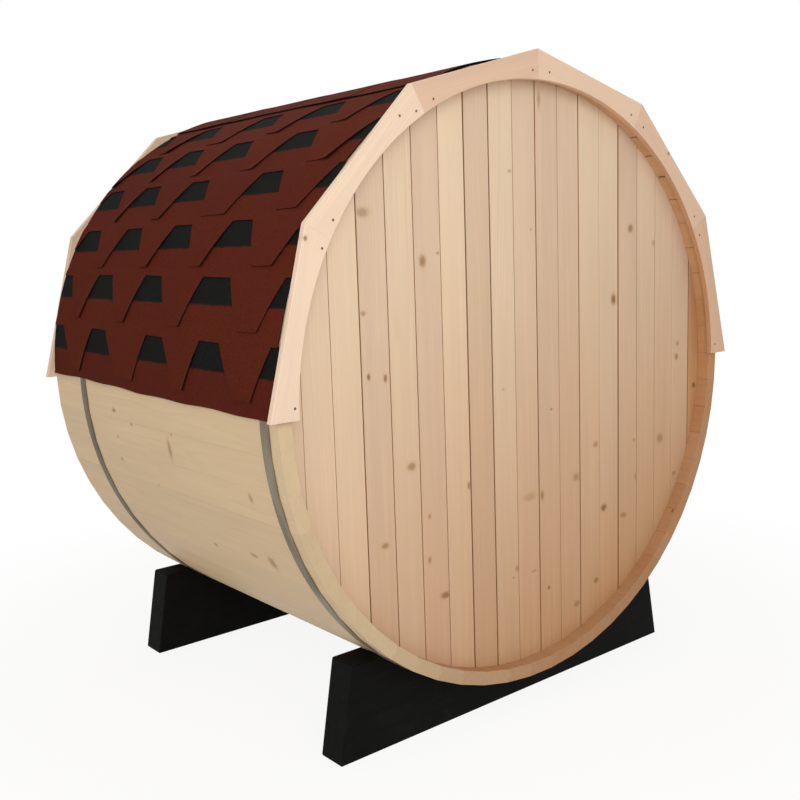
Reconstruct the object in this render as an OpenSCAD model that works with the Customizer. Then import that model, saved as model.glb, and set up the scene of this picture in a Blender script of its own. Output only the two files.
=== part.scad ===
// Barrel sauna: beaded staves hooped by steel bands, on two shaped cradles.
// The barrel lies along Y, its plain end towards -Y and its door end towards +Y.
// Left and right are as seen from the plain end. The ground is at z = 0.

/* [Barrel] */
// Diameter of the barrel across the middles of opposite staves
barrel_d = 1800; // [1600:10:2200]
// Length of the staves
stave_len = 1375; // [1200:5:2400]
// Thickness of the staves
stave_t = 40; // [32:1:60]
// Number of staves round the barrel
stave_count = 58; // [44:1:72]
// Radius of the bead that runs along one edge of each stave
bead_r = 12; // [9:0.5:14]
// How far the bead stands out of that edge
bead_out = 6; // [3:0.5:8]

/* [End walls] */
// Depth of an end wall behind the ends of the staves
wall_recess = 42; // [40:1:200]
// Thickness of the end wall boards
wall_t = 40; // [34:1:60]
// Number of upright boards across an end wall
wall_board_count = 19; // [15:2:25]
// Depth of the groove round the staves that holds an end wall
croze_depth = 10; // [5:1:16]
// Length of the tongue along a board
tongue_out = 9; // [5:1:14]
// Thickness of that tongue
tongue_t = 10; // [6:1:14]
// Bevel along the edges of a board
board_bevel = 1.5; // [0.5:0.5:4]

/* [Door] */
// Number of wall boards that the doorway takes up
door_board_count = 7; // [5:2:9]
// Height of the doorway
door_h = 1400; // [1200:10:1500]
// Thickness of the lining round the doorway
lining_t = 30; // [26:1:45]
// Thickness of the door leaf
leaf_t = 28; // [22:1:30]
// Number of boards in the door leaf
leaf_board_count = 6; // [4:1:8]
// Gap round the door leaf
leaf_gap = 3; // [2:0.5:6]
// Width of the stop strips that the leaf closes on
stop_w = 12; // [8:1:20]
// Height of a ledge across the back of the leaf
ledge_h = 90; // [60:5:140]
// Thickness of a ledge
ledge_t = 22; // [16:1:35]
// Distance from the end of the leaf to the middle of a ledge
ledge_inset = 220; // [120:10:400]

/* [Hinges and handle] */
// Length of a hinge strap on the leaf
strap_l = 260; // [150:5:400]
// Height of a hinge strap at its pivot
strap_h = 36; // [24:1:60]
// Thickness of a hinge strap
strap_t = 3; // [2:0.5:5]
// Width of the hinge plate on the lining
hinge_plate_w = 24; // [16:1:26]
// Radius of the hinge knuckle
knuckle_r = 7; // [5:0.5:9]
// Length of the handle
handle_l = 320; // [200:10:500]
// Width of the handle
handle_w = 30; // [20:1:45]
// Reach of the handle from the leaf
handle_out = 58; // [48:1:60]
// Depth of the bar that the hand holds
handle_bar = 24; // [18:1:28]
// Length of each foot of the handle
handle_foot = 42; // [25:1:70]
// Distance from the edge of the leaf to the middle of the handle
handle_inset = 70; // [45:5:150]

/* [Fascia] */
// Thickness of the fascia boards
fascia_t = 19; // [12:1:35]
// How far the fascia reaches in past the inner faces of the staves
fascia_lap = 12; // [4:1:40]

/* [Bands] */
// Width of a steel band
band_w = 42; // [25:1:55]
// Thickness of a steel band
band_t = 1; // [0.8:0.1:3]
// Gap between the rear band and the outer face of the rear cradle
rear_band_gap = 12; // [5:1:30]
// Gap between the front band and the inner face of the front cradle
front_band_gap = 5; // [2:1:60]

/* [Roof] */
// Thickness of one layer of shingle
shingle_t = 2.5; // [2:0.5:6]
// Girth of the starter strip that shows below the lowest course
starter_w = 36; // [20:1:80]
// Number of shingle courses on each side of the ridge
course_count = 6; // [4:1:9]
// Girth of the ridge cap
ridge_w = 790; // [300:10:1000]

/* [Cradles] */
// Length of a cradle across the barrel
cradle_len = 1390; // [1250:10:1700]
// Thickness of a cradle
cradle_t = 95; // [60:1:140]
// Height of a cradle at its ends
cradle_h = 275; // [180:5:380]
// How far each end of a cradle leans in at the top
cradle_rake = 50; // [0:5:90]
// Height of a cradle under the lowest stave
cradle_mid_h = 92; // [50:1:150]
// Distance from the rear ends of the staves to the rear cradle
rear_cradle_inset = 93; // [90:1:400]
// Distance from the front ends of the staves to the front cradle
front_cradle_inset = 104; // [20:1:400]

/* [Hidden] */
$fn = 360;
// Facets of the small rounds
small_fn = 48;
// Room between pieces that bear on each other
seat_gap = 0.3;
// Room between neighbouring staves, boards and shingle courses
joint_gap = 0.4;
// How far a cut runs past the piece that it cuts
overrun = 10;
// Height of a hinge strap at its tip, as a share of its height at the pivot
strap_tip_share = 0.5;
// Width of the outermost boards of an end wall, as a share of a full board
edge_board_share = 0.73;
// Fascia boards over one end, which together span the upper half of the barrel
fascia_boards = 6;
// Groups of staves, named in order from the bottom round by the right
SECTORS = ["bottom", "lower_right", "right", "upper_right", "top", "upper_left", "left", "lower_left"];

barrel_r = barrel_d / 2;
inner_r = barrel_r - stave_t;
mid_r = (barrel_r + inner_r) / 2;
stave_step = 360 / stave_count;
corner_r = barrel_r / cos(stave_step / 2);
hoop_r = corner_r + seat_gap;
roof_r = hoop_r + band_t + seat_gap;
axis_h = cradle_mid_h + hoop_r;
stave_end = stave_len / 2;

croze_r = inner_r + croze_depth;
wall_r = croze_r - joint_gap;
wall_y = wall_recess - stave_end;
board_w = 2 * wall_r / (wall_board_count - 2 + 2 * edge_board_share);

door_first = (wall_board_count - door_board_count) / 2;
door_last = door_first + door_board_count - 1;
open_w = door_board_count * board_w;
door_bottom = axis_h - door_h / 2;
door_top = axis_h + door_h / 2;
clear_w = open_w - 2 * lining_t;
clear_h = door_h - 2 * lining_t - 2 * joint_gap;
clear_bottom = door_bottom + joint_gap + lining_t;
leaf_w = clear_w - 2 * leaf_gap;
leaf_h = clear_h - 2 * leaf_gap;
leaf_bottom = clear_bottom + leaf_gap;
leaf_back = wall_y + leaf_t + seat_gap;
stop_t = wall_t - leaf_t - seat_gap;

fascia_step = 180 / fascia_boards;
fascia_in_r = inner_r - fascia_lap;

starter_step = starter_w / roof_r * 180 / PI;
ridge_half = ridge_w / roof_r * 90 / PI;
course_step = (90 - starter_step - ridge_half) / course_count;

rear_cradle_y = rear_cradle_inset - stave_end;
front_cradle_y = stave_end - front_cradle_inset - cradle_t;
rear_band_y = rear_cradle_y - rear_band_gap - band_w;
front_band_y = front_cradle_y - front_band_gap - band_w;

// Stretches a flat outline, drawn as seen from the plain end, along the barrel
module along_barrel(y, len) {
    translate([0, y + len, axis_h])
        rotate([90, 0, 0])
            linear_extrude(len)
                children();
}

// Turns a piece made for the plain end round to the door end
module door_end() {
    mirror([0, 1, 0])
        children();
}

// Wedge that opens along +X by a full angle, its sides drawn in by half a joint, and ends flat at x = reach
module wedge(angle, reach) {
    tip = joint_gap / 2 / sin(angle / 2);
    half_w = (reach - tip) * tan(angle / 2);
    polygon([[tip, 0], [reach, -half_w], [reach, half_w]]);
}

// Round that lies along a stave joint, its middle inside the edge that carries the bead
module bead_round(angle, r) {
    rotate(angle)
        translate([mid_r, bead_out - bead_r])
            circle(r = r, $fn = small_fn);
}

// Stave seen on its end: flat faces, a bead on one edge and a cove on the other
module stave_section() {
    difference() {
        union() {
            difference() {
                wedge(stave_step, barrel_r);
                translate([0, -barrel_r])
                    square([inner_r, 2 * barrel_r]);
            }
            bead_round(stave_step / 2, bead_r);
        }
        bead_round(-stave_step / 2, bead_r + joint_gap);
    }
}

// Groove round the inside of the staves that takes the edge of an end wall
module croze() {
    along_barrel(wall_y - seat_gap, wall_t + 2 * seat_gap)
        circle(r = croze_r);
}

// One eighth of the barrel
module staves(sector) {
    per_sector = stave_count / len(SECTORS);
    bottom_start = round(stave_count * 3 / 4 - per_sector / 2);
    first = bottom_start + floor(sector * per_sector);
    last = bottom_start + floor((sector + 1) * per_sector) - 1;
    color("burlywood")
        difference() {
            along_barrel(-stave_end, stave_len)
                for (k = [first : last])
                    rotate((k + 1 / 2) * stave_step)
                        stave_section();
            croze();
            door_end()
                croze();
        }
}

// Board seen on its end: bevelled edges, a groove on the left and a tongue on the right
module board_section(w, t, grooved, tongued) {
    left = joint_gap / 2;
    right = w - joint_gap / 2;
    difference() {
        union() {
            polygon([
                [left + board_bevel, 0], [right - board_bevel, 0],
                [right, board_bevel], [right, t - board_bevel],
                [right - board_bevel, t], [left + board_bevel, t],
                [left, t - board_bevel], [left, board_bevel]
            ]);
            if (tongued)
                translate([w / 2, (t - tongue_t) / 2])
                    square([right + tongue_out - w / 2, tongue_t]);
        }
        if (grooved)
            translate([left - overrun, (t - tongue_t) / 2 - seat_gap])
                square([overrun + tongue_out + joint_gap, tongue_t + 2 * seat_gap]);
    }
}

// Row of upright boards, each tongued into the next
module boards(w, t, h, first, last, count) {
    for (k = [first : last])
        translate([k * w, 0, 0])
            linear_extrude(h)
                board_section(w, t, k > 0, k < count - 1);
}

// Boards of an end wall, from the first to the last counted from the left, cut to the round
module wall_boards(first, last) {
    color("navajowhite")
        intersection() {
            translate([-wall_board_count * board_w / 2, wall_y, axis_h - wall_r])
                boards(board_w, wall_t, 2 * wall_r, first, last, wall_board_count);
            along_barrel(wall_y - overrun, wall_t + 2 * overrun)
                circle(r = wall_r);
        }
}

// Cut through the end wall boards from one height to another, reaching past each side of the doorway
module doorway(from, to, past) {
    translate([-open_w / 2 - past, wall_y - overrun, from])
        cube([open_w + 2 * past, wall_t + 2 * overrun, to - from]);
}

module rear_wall() {
    wall_boards(0, wall_board_count - 1);
}

module front_wall_side(first, last) {
    door_end()
        difference() {
            wall_boards(first, last);
            doorway(door_bottom, door_top, joint_gap);
        }
}

module front_wall_over_door() {
    door_end()
        difference() {
            wall_boards(door_first, door_last);
            doorway(axis_h - wall_r - overrun, door_top, tongue_out + overrun);
        }
}

module front_wall_under_door() {
    door_end()
        difference() {
            wall_boards(door_first, door_last);
            doorway(door_bottom, axis_h + wall_r + overrun, tongue_out + overrun);
        }
}

// Upright of the lining: side is -1 on the left and 1 on the right
module door_jamb(side) {
    color("tan")
        door_end()
            translate([side * (open_w - lining_t) / 2 - lining_t / 2, wall_y, door_bottom + joint_gap])
                cube([lining_t, wall_t, door_h - 2 * joint_gap]);
}

// Rail of the lining between the jambs, with its underside at the height given
module door_rail(z) {
    color("tan")
        door_end()
            translate([joint_gap - clear_w / 2, wall_y, z])
                cube([clear_w - 2 * joint_gap, wall_t, lining_t]);
}

// Strips round the lining that the leaf closes on
module door_stops() {
    upright_h = clear_h - 2 * seat_gap;
    rail_w = clear_w - 2 * (stop_w + seat_gap + joint_gap);
    color("tan")
        door_end()
            translate([0, leaf_back, clear_bottom + seat_gap]) {
                for (x = [seat_gap - clear_w / 2, clear_w / 2 - seat_gap - stop_w])
                    translate([x, 0, 0])
                        cube([stop_w, stop_t, upright_h]);
                for (z = [0, upright_h - stop_w])
                    translate([-rail_w / 2, 0, z])
                        cube([rail_w, stop_t, stop_w]);
            }
}

module door_leaf() {
    color("navajowhite")
        door_end()
            translate([-leaf_w / 2, wall_y, leaf_bottom])
                boards(leaf_w / leaf_board_count, leaf_t, leaf_h, 0, leaf_board_count - 1, leaf_board_count);
}

// Ledges that hold the boards of the leaf together, clear of the stops
module door_ledges() {
    ledge_w = clear_w - 2 * (stop_w + 2 * leaf_gap);
    color("tan")
        door_end()
            for (middle = [leaf_bottom + ledge_inset, leaf_bottom + leaf_h - ledge_inset])
                translate([-ledge_w / 2, leaf_back, middle - ledge_h / 2])
                    cube([ledge_w, ledge_t, ledge_h]);
}

// Tapered strap on the leaf, plate on the lining and the knuckle between them
module strap_hinge() {
    tip_h = strap_h * strap_tip_share;
    translate([0, -seat_gap, 0])
        rotate([90, 0, 0])
            linear_extrude(strap_t)
                polygon([
                    [-hinge_plate_w, -strap_h / 2], [0, -strap_h / 2], [strap_l, -tip_h / 2],
                    [strap_l, tip_h / 2], [0, strap_h / 2], [-hinge_plate_w, strap_h / 2]
                ]);
    translate([0, -seat_gap - knuckle_r, -strap_h / 2])
        cylinder(r = knuckle_r, h = strap_h, $fn = small_fn);
}

module door_hinges() {
    color("dimgray")
        door_end()
            for (middle = [leaf_bottom + ledge_inset, leaf_bottom + leaf_h - ledge_inset])
                translate([(leaf_gap - clear_w) / 2, wall_y, middle])
                    strap_hinge();
}

// Upright wooden handle on two feet
module door_handle() {
    color("peru")
        door_end()
            translate([leaf_w / 2 - handle_inset - handle_w / 2, wall_y - seat_gap, axis_h - handle_l / 2])
                rotate([90, 0, 90])
                    linear_extrude(handle_w)
                        difference() {
                            translate([-handle_out, 0])
                                square([handle_out, handle_l]);
                            translate([handle_bar - handle_out, handle_foot])
                                square([handle_out + overrun, handle_l - 2 * handle_foot]);
                        }
}

// Fascia board, counted from 0 at the right eave: straight outside, round inside, mitred at both ends
module fascia_board(k) {
    color("bisque")
        along_barrel(-stave_end - fascia_t, fascia_t)
            difference() {
                rotate((k + 1 / 2) * fascia_step)
                    wedge(fascia_step, barrel_r);
                circle(r = fascia_in_r);
            }
}

module band(y) {
    color("darkgray")
        along_barrel(y, band_w)
            difference() {
                circle(r = hoop_r + band_t);
                circle(r = hoop_r);
            }
}

// Sheet of shingle seen on its end: it follows the round from one angle over a step,
// its outer face struck from a middle that is let down towards the eave by the lean
module sheet_section(from, step, thick, lean) {
    rotate(from + step / 2)
        intersection() {
            difference() {
                translate([0, -lean])
                    circle(r = roof_r + thick);
                circle(r = roof_r);
            }
            wedge(step, roof_r + 2 * shingle_t + overrun);
        }
}

// Starter strip, one layer thick, and the courses, one layer thick at the top edge and two at the lower
module roof_right() {
    lean = shingle_t / 2 / sin(course_step / 2);
    color("saddlebrown")
        along_barrel(-stave_end, stave_len) {
            sheet_section(0, starter_step, shingle_t, 0);
            for (k = [0 : course_count - 1])
                sheet_section(starter_step + k * course_step, course_step, shingle_t * 3 / 2, lean);
        }
}

module roof_left() {
    mirror([1, 0, 0])
        roof_right();
}

// Cap over the ridge that closes the roof between the highest courses
module ridge_cap() {
    color("saddlebrown")
        along_barrel(-stave_end, stave_len)
            sheet_section(90 - ridge_half, 2 * ridge_half, shingle_t * 3 / 2, 0);
}

// Timber on edge with raked ends, its top hollowed to the round of the barrel
module cradle(y) {
    half = cradle_len / 2;
    color([0.07, 0.07, 0.08])
        along_barrel(y, cradle_t)
            difference() {
                translate([0, -axis_h])
                    polygon([[-half, 0], [half, 0], [half - cradle_rake, cradle_h], [cradle_rake - half, cradle_h]]);
                circle(r = hoop_r);
            }
}

for (s = [0 : len(SECTORS) - 1])
    staves(s);
rear_wall();
front_wall_side(0, door_first - 1);  // front_wall_left
front_wall_side(door_last + 1, wall_board_count - 1);  // front_wall_right
front_wall_over_door();
front_wall_under_door();
door_jamb(-1);  // door_jamb_left
door_jamb(1);  // door_jamb_right
door_rail(door_top - joint_gap - lining_t);  // door_head
door_rail(door_bottom + joint_gap);  // door_sill
door_stops();
door_leaf();
door_ledges();
door_hinges();
door_handle();
for (k = [0 : fascia_boards - 1]) {
    fascia_board(k);
    door_end() fascia_board(k);
}
band(rear_band_y);  // rear_band
band(front_band_y);  // front_band
roof_left();
roof_right();
ridge_cap();
cradle(rear_cradle_y);  // rear_cradle
cradle(front_cradle_y);  // front_cradle
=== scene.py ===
"""Looks of the barrel sauna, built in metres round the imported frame.

Its plain end faces -Y and its door end +Y.
"""
import math
import random

import bmesh
import bpy
import numpy as np
from mathutils import Matrix, Vector


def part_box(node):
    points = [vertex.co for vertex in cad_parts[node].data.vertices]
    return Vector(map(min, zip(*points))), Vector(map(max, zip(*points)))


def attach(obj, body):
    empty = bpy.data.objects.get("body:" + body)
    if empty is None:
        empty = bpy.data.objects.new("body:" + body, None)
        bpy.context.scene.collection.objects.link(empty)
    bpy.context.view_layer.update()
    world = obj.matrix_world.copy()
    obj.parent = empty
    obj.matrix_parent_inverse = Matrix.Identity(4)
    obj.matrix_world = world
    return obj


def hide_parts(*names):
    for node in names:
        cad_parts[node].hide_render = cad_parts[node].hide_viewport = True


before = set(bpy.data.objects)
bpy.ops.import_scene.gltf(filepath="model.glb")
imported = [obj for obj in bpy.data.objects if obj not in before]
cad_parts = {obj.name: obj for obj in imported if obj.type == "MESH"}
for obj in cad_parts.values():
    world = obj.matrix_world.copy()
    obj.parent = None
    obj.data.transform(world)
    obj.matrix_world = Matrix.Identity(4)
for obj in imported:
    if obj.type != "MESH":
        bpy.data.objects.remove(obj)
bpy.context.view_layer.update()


# Cradles: two softwood timbers on edge, their tops sawn hollow to the round of the barrel.
# They are painted matt black with the sharp edges taken off, and the barrel lies in them by its own weight.
draw = random.Random(58)
band_low, band_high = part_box("rear_band")
axis_h = (band_low[2] + band_high[2]) / 2
band_t = 0.001
hoop_r = (band_high[0] - band_low[0]) / 2 - band_t
hollow_half = math.sqrt(hoop_r ** 2 - (axis_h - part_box("rear_cradle")[1][2]) ** 2)
hollow_steps = 40
cradle_ease = 0.003
cradle_rake = 0.05


def either_way(operation):
    """The two methods for an operation with a socket on its left or on its right."""
    return (lambda self, other: self.maths(operation, self, other),
            lambda self, other: self.maths(operation, other, self))


class Flow:
    """A socket in a finish's nodes. Arithmetic on it adds Math nodes."""

    def __init__(self, tree, socket=None):
        self.tree = tree
        self.socket = socket

    def node(self, kind, sockets=None, **settings):
        """Adds a node: its settings first, then the values or links of its sockets."""
        made = self.tree.nodes.new("ShaderNode" + kind)
        for name, value in settings.items():
            setattr(made, name, value)
        for name, value in (sockets or {}).items():
            if isinstance(value, Flow):
                self.tree.links.new(value.socket, made.inputs[name])
            else:
                made.inputs[name].default_value = value
        return Flow(self.tree, made.outputs[0] if made.outputs else None)

    def out(self, name):
        return Flow(self.tree, self.socket.node.outputs[name])

    def maths(self, operation, *values):
        return self.node("Math", dict(enumerate(values)), operation=operation)

    __add__, __radd__ = either_way("ADD")
    __sub__, __rsub__ = either_way("SUBTRACT")
    __mul__, __rmul__ = either_way("MULTIPLY")
    __truediv__, __rtruediv__ = either_way("DIVIDE")
    __pow__, __rpow__ = either_way("POWER")

    def fraction(self):
        return self.maths("FRACT", self)

    def rise(self, low, high):
        """Goes smoothly from 0 at the low value to 1 at the high one."""
        span = {"Value": self, "From Min": low, "From Max": high}
        return self.node("MapRange", span, interpolation_type="SMOOTHSTEP")

    def blend(self, one, other):
        """A colour between two, by this value."""
        return self.node("Mix", {0: self, 6: one, 7: other}, data_type="RGBA").out(2)

    def axes(self):
        split = self.node("SeparateXYZ", {0: self})
        return split, split.out("Y"), split.out("Z")

    def mottle(self, stretch, detail=2.0):
        """Noise over this vector, with so many lumps to the metre each way."""
        scaled = self.node("VectorMath", {0: self, 1: stretch}, operation="MULTIPLY")
        return self.node("TexNoise", {"Vector": scaled, "Scale": 1.0, "Detail": detail})

    def marked(self, label):
        """The values that a mesh keeps for its finish under a label."""
        return self.node("Attribute", attribute_name=label).out("Vector")

    def place(self):
        return self.node("NewGeometry").out("Position")


def rgb(*parts):
    """A colour given as red, green and blue from 11 to 255, as light."""
    return (*[((part / 255 + 0.055) / 1.055) ** 2.4 for part in parts], 1.0)


def new_finish(name):
    material = bpy.data.materials.new(name)
    material.use_nodes = True
    material.node_tree.nodes.clear()
    return material, Flow(material.node_tree)


def coat(flow, colour, roughness, height, depth, metallic=0.0, gloss=0.5):
    """Closes a finish: its colour, roughness and the relief that the height gives, so many metres deep."""
    bump = flow.node("Bump", {"Strength": 1.0, "Distance": depth, "Height": height})
    shader = flow.node("BsdfPrincipled", {
        "Base Color": colour, "Roughness": roughness, "Metallic": metallic,
        "Specular IOR Level": gloss, "Normal": bump})
    flow.node("OutputMaterial", {"Surface": shader})


def put(name, data):
    """Stands an object in the scene."""
    made = bpy.data.objects.new(name, data)
    bpy.context.scene.collection.objects.link(made)
    return made


def at_corners(mesh, by_point, by_face):
    """Values of the points and of the faces, as every corner of every face has them."""
    corner_points = np.empty(len(mesh.loops), dtype=np.int32)
    mesh.loops.foreach_get("vertex_index", corner_points)
    counts = [face.loop_total for face in mesh.polygons]
    return np.array(by_point)[corner_points], np.repeat(np.array(by_face), counts, axis=0)


def mark(mesh, label, values):
    """Keeps three values for every corner of the mesh, for its finish to read."""
    layer = mesh.attributes.new(label, "FLOAT_VECTOR", "CORNER")
    layer.data.foreach_set("vector", values.astype(np.float32).ravel())


class Solid:
    """Points and faces gathered into one piece."""

    def __init__(self):
        self.points, self.faces = [], []

    def loft(self, loops, closed=False):
        """Skins a run of loops of points, and caps its ends unless the run closes on itself."""
        first, size, count = len(self.points), len(loops[0]), len(loops)
        for loop in loops:
            self.points += [tuple(point) for point in loop]
        for row in range(count if closed else count - 1):
            near, far = first + row * size, first + (row + 1) % count * size
            for spot in range(size):
                after = (spot + 1) % size
                self.faces.append((near + spot, near + after, far + after, far + spot))
        if not closed:
            last = first + (count - 1) * size
            self.faces.append(tuple(range(first + size - 1, first - 1, -1)))
            self.faces.append(tuple(range(last, last + size)))

    def piece(self, name, finish, nodes=(), slot=None, smooth=None):
        """Makes the mesh of the piece, which rides on the building and stands for the nodes."""
        mesh = bpy.data.meshes.new(name)
        mesh.from_pydata(self.points, [], self.faces)
        shape = bmesh.new()
        shape.from_mesh(mesh)
        bmesh.ops.recalc_face_normals(shape, faces=shape.faces)
        shape.to_mesh(mesh)
        shape.free()
        if smooth:
            mesh.shade_smooth()
            mesh.set_sharp_from_angle(angle=math.radians(smooth))
        mesh.materials.append(finish)
        piece = put(name, mesh)
        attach(piece, "root")
        if nodes:
            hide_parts(*nodes)
        return mesh


class Lumber(Solid):
    """Sawn sticks. A point keeps its place in the log and its stick's tint, a side face its nearest knot."""

    def __init__(self):
        super().__init__()
        self.by_point, self.by_face = [], []

    def stick(self, loops, place, tint, knots=(), end_tint=None):
        """Adds a stick from loops of (along, across, deep) corners, cut between its knots."""
        knots = sorted(knots)
        for one, two in zip(knots, knots[1:]):
            loops = parted(loops, one[0] + (two[0] - one[0]) * one[2] / (one[2] + two[2]))
        pith_across, pith_deep = draw.uniform(-0.07, 0.07), draw.uniform(0.03, 0.14)
        slope = draw.uniform(-0.012, 0.012)
        start = draw.uniform(0, 50)
        self.loft([[place(*corner) for corner in loop] for loop in loops])
        for along, across, deep in sum(loops, []):
            log = along + start, across - pith_across, deep + pith_deep + slope * along
            tinted = tint(along, across, deep) if callable(tint) else tint
            self.by_point.append((*log, *tinted, along, across))
        no_knot = (0.0, 0.0, 1.0, 1.0, 0.0)
        as_sides = (math.nan, math.nan, math.nan)
        for near, far in zip(loops, loops[1:]):
            for spot in range(len(near)):
                after = (spot + 1) % len(near)
                corners = near[spot], near[after], far[after], far[spot]
                nearest = min(knots, key=lambda knot: knot_gap(knot, corners), default=no_knot)
                self.by_face.append((*nearest, *as_sides))
        self.by_face += [(*no_knot, *(end_tint or as_sides))] * 2

    def piece(self, name, finish, nodes, slot, smooth=None):
        mesh = super().piece(name, finish, nodes, slot, smooth)
        by_point, by_face = at_corners(mesh, self.by_point, self.by_face)
        log, tint, spots = np.split(by_point, (3, 6), axis=1)
        knots, end_tint = np.split(by_face, (5,), axis=1)
        mark(mesh, "log", log)
        mark(mesh, "tint", np.where(np.isnan(end_tint), tint, end_tint))
        mark(mesh, "knot", np.column_stack(((spots - knots[:, :2]) / knots[:, 2:4], knots[:, 4])))


def eased(low, high, ease):
    """Section of a squared stick between two corners (across, deep), its edges taken off."""
    (a, c), (b, d) = low, high
    return [(a + ease, c), (b - ease, c), (b, c + ease), (b, d - ease),
            (b - ease, d), (a + ease, d), (a, d - ease), (a, c + ease)]


black_paint, flow = new_finish("black_timber_paint")
log = flow.marked("log")
fibre = log.mottle((9, 420, 420), 3)
brushed = log.mottle((5, 60, 60), 3)
dust = log.mottle((14, 14, 14), 5).rise(0.5, 0.75)
coat(flow, dust.blend(rgb(15, 15, 15), rgb(21, 21, 21)), 0.6 + 0.22 * brushed,
     fibre + brushed * 1.5, 0.0005, gloss=0.06)

for node in ("rear_cradle", "front_cradle"):
    low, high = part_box(node)
    places = [low[0], low[0] + cradle_ease, -hollow_half - cradle_ease, -hollow_half]
    places += [hollow_half * (2 * step / hollow_steps - 1) for step in range(1, hollow_steps)]
    places += [-x for x in reversed(places[:4])]
    loops = []
    for number, x in enumerate(places):
        top = min(high[2], axis_h - math.sqrt(max(hoop_r ** 2 - x * x, 0)))
        inset = cradle_ease if number in (0, len(places) - 1) else 0
        section = eased((low[1] + inset, low[2] + inset), (high[1] - inset, top - inset), cradle_ease)
        rake = math.copysign(cradle_rake, -x) / high[2] if abs(x) > hollow_half + 2 * cradle_ease else 0
        loops.append([(x + rake * deep, across, deep) for across, deep in section])
    timber = Lumber()
    timber.stick(loops, lambda along, across, deep: (along, across, deep), (0.5, 0.5, 0.0))
    timber.piece(node + "_timber", black_paint, [node], "black_timber")


# Staves: planed pine, flat inside and out, with a bead along one edge that lies in the cove of the next.
# A groove is cut across their inner faces near both ends, where the end walls sit.
stave_count = 58
stave_turn = 2 * math.pi / stave_count
stave_half_turn = stave_turn / 2
stave_w = 0.097
outer_r, inner_r, middle_r = 0.9, 0.86, 0.88
stave_end = 0.6875
groove_r, groove_slant = 0.87, 0.0001
groove_near, groove_far = 0.6458, 0.6052
bead_r, bead_out, cove_r = 0.0116, 0.0058, 0.0117
bead_steps = 8
stave_gap = 0.0001
stave_ease, stave_inner_ease, stave_end_ease = 0.0007, 0.0004, 0.0001
# Joints that have opened inside, numbered from the right upwards, and how far each side has drawn back.
# They are cut back three times as high as wide, up to a limit.
open_joints = {3: 0.0008, 4: 0.0007, 5: 0.0008, 6: 0.0016, 7: 0.0044, 8: 0.0032, 9: 0.0030, 56: 0.0007}
open_slant, open_most = 3, 0.007
# The sides of a joint are darker than the faces, as far out as this radius: painted shade.
joint_r, open_joint_light, shut_joint_light = 0.8685, -3.5, -0.8
face_skin = 0.0005
# The ends of the staves are painted browner from the lower left on, between these angles: painted shade.
end_tan_from, end_tan_to, end_tan_most = 225, 275, 0.87
# Knots that show low on the left and inside the rear end: angle round the barrel and place along it,
# half length and half width in millimetres, and darkness. Past the angles seen there, chance scatters more.
shell_knots = (
    (184.5, 0.25, 13, 7, 0.75), (186.5, 0.135, 9, 6, 0.6), (186.5, -0.12, 6, 5, 0.55),
    (189.5, -0.09, 11, 34, 0.55), (190, 0.26, 7, 5, 0.45), (195, 0.28, 9, 6, 0.65),
    (198.5, 0.065, 7, 8, 0.3), (194.5, -0.495, 10, 16, 0.5), (209.5, -0.135, 11, 8, 0.55),
    (208, -0.365, 20, 9, 0.5), (208, -0.46, 18, 24, 0.6), (322, -0.675, 7, 10, 1.0))
seen_from, seen_to = 178, 222
knot_sizes = (0.004, 0.005, 0.007, 0.009, 0.012)
# A stick is cut between two knots only where the cut keeps this far from its other loops.
cut_room = 0.001


def pine(name, pale, rosy, tanned, late, ring_gap=0.0062, ring_show=0.1, matt=0.56):
    """Planed pine: growth rings cut as the stick lies in its log, fine fibre, knots, a tint to each stick."""
    material, flow = new_finish(name)
    log = flow.marked("log")
    warm, light, tan = flow.marked("tint").axes()
    along_knot, across_knot, dark = flow.marked("knot").axes()
    along, across, deep = log.axes()
    ragged = log.mottle((90, 90, 90), 3)
    from_knot = (along_knot * along_knot + across_knot * across_knot) ** 0.5 + (ragged - 0.5) * 0.5
    swirl = (1 - from_knot.rise(0.5, 2.6)) * dark
    wander = log.mottle((1.1, 9, 9), 2)
    radius = (across * across + deep * deep) ** 0.5 + (wander - 0.5) * 0.03 + swirl * 0.005
    uneven = log.mottle((0.35, 24, 24), 2)
    ring = (radius / ring_gap + 2.4 * uneven).fraction()
    late_wood = ring.rise(0.3, 0.9) * (1 - ring.rise(0.92, 1.0))
    fibre = log.mottle((12, 850, 850), 3)
    streak = log.mottle((1.3, 70, 70), 3)
    cloud = log.mottle((2.2, 12, 12), 3)
    wood = warm.blend(pale, rosy)
    # The tan and light of a stick's tint also carry painted shade and painted light, where the sticks set
    # them so.
    wood = (tan + 0.35 * (cloud - 0.5) * tan).blend(wood, tanned)
    wood = (late_wood * (ring_show + 0.9 * (streak - 0.5))).blend(wood, late)
    shade = 0.9 + 0.16 * (light - 0.5) + 0.16 * (streak - 0.5) + 0.16 * (cloud - 0.5) + 0.07 * (fibre - 0.5)
    wood = flow.node("VectorMath", {0: wood, "Scale": shade}, operation="SCALE")
    halo = (1 - from_knot.rise(0.7, 1.9)) * dark
    heart = 1 - from_knot.rise(0.3, 1.2)
    wood = (halo * 0.4).blend(wood, rgb(194, 149, 96))
    knot_wood = (from_knot * 3.3).fraction().blend(rgb(138, 103, 63), rgb(110, 78, 45))
    wood = (heart * dark * 0.92).blend(wood, knot_wood)
    relief = fibre * 0.5 + late_wood * 0.35 + heart * dark * 0.9
    coat(flow, wood, matt + 0.14 * (fibre - 0.5) - 0.06 * late_wood, relief, 0.00035, gloss=0.3)
    return material


def within(value):
    """The value, held between 0 and 1."""
    return min(max(value, 0.0), 1.0)


def round_barrel(turn, out, across, y):
    """A point at an angle round the barrel, so far out from its axis and across from that direction."""
    return (out * math.cos(turn) - across * math.sin(turn), y,
            axis_h + out * math.sin(turn) + across * math.cos(turn))


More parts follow.
